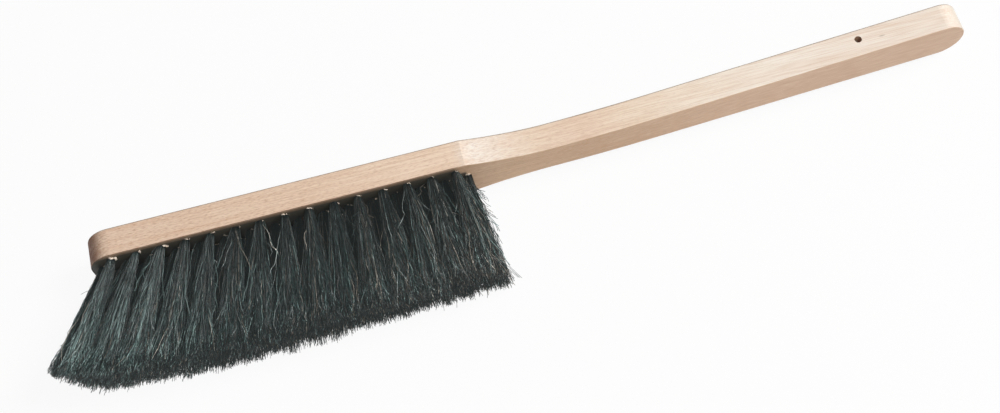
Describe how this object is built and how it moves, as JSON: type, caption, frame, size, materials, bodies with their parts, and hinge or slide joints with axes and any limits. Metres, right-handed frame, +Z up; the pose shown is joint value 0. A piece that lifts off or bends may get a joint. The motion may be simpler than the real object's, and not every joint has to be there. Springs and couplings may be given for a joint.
{
  "type": "hand broom",
  "caption": "long-handled hand broom: a flat wooden block and slim handle in one piece, with leaning tufts of dark hair for sweeping and a hole for hanging it up",
  "frame": {"origin": "middle of the block's side face that the broom lies on", "axes": "+X runs from the brush front to the handle's end, the hair points to -Y, the back is at +Y, +Z is up"},
  "size_m": [0.5815, 0.1013, 0.036],
  "materials": {
    "beech": "matte",
    "horsehair": "matte",
    "anchor_wire": "satin"
  },
  "bodies": {
    "root": {"handle_and_block": "beech", "row_1_anchors": "anchor_wire", "row_2_anchors": "anchor_wire", "row_3_anchors": "anchor_wire", "row_4_anchors": "anchor_wire", "row_1_tuft_01": "horsehair", "row_1_tuft_02": "horsehair", "row_1_tuft_03": "horsehair", "row_1_tuft_04": "horsehair", "row_1_tuft_05": "horsehair", "row_1_tuft_06": "horsehair", "row_1_tuft_07": "horsehair", "row_1_tuft_08": "horsehair", "row_1_tuft_09": "horsehair", "row_1_tuft_10": "horsehair", "row_1_tuft_11": "horsehair", "row_1_tuft_12": "horsehair", "row_1_tuft_13": "horsehair", "row_1_tuft_14": "horsehair", "row_1_tuft_15": "horsehair", "row_2_tuft_01": "horsehair", "row_2_tuft_02": "horsehair", "row_2_tuft_03": "horsehair", "row_2_tuft_04": "horsehair", "row_2_tuft_05": "horsehair", "row_2_tuft_06": "horsehair", "row_2_tuft_07": "horsehair", "row_2_tuft_08": "horsehair", "row_2_tuft_09": "horsehair", "row_2_tuft_10": "horsehair", "row_2_tuft_11": "horsehair", "row_2_tuft_12": "horsehair", "row_2_tuft_13": "horsehair", "row_2_tuft_14": "horsehair", "row_2_tuft_15": "horsehair", "row_2_tuft_16": "horsehair", "rows_3_4_tufts_01": "horsehair", "rows_3_4_tufts_02": "horsehair", "rows_3_4_tufts_03": "horsehair", "rows_3_4_tufts_04": "horsehair", "rows_3_4_tufts_05": "horsehair", "rows_3_4_tufts_06": "horsehair", "rows_3_4_tufts_07": "horsehair", "rows_3_4_tufts_08": "horsehair", "rows_3_4_tufts_09": "horsehair", "rows_3_4_tufts_10": "horsehair", "rows_3_4_tufts_11": "horsehair", "rows_3_4_tufts_12": "horsehair", "rows_3_4_tufts_13": "horsehair", "rows_3_4_tufts_14": "horsehair", "rows_3_4_tufts_15": "horsehair"}
  },
  "joints": []
}
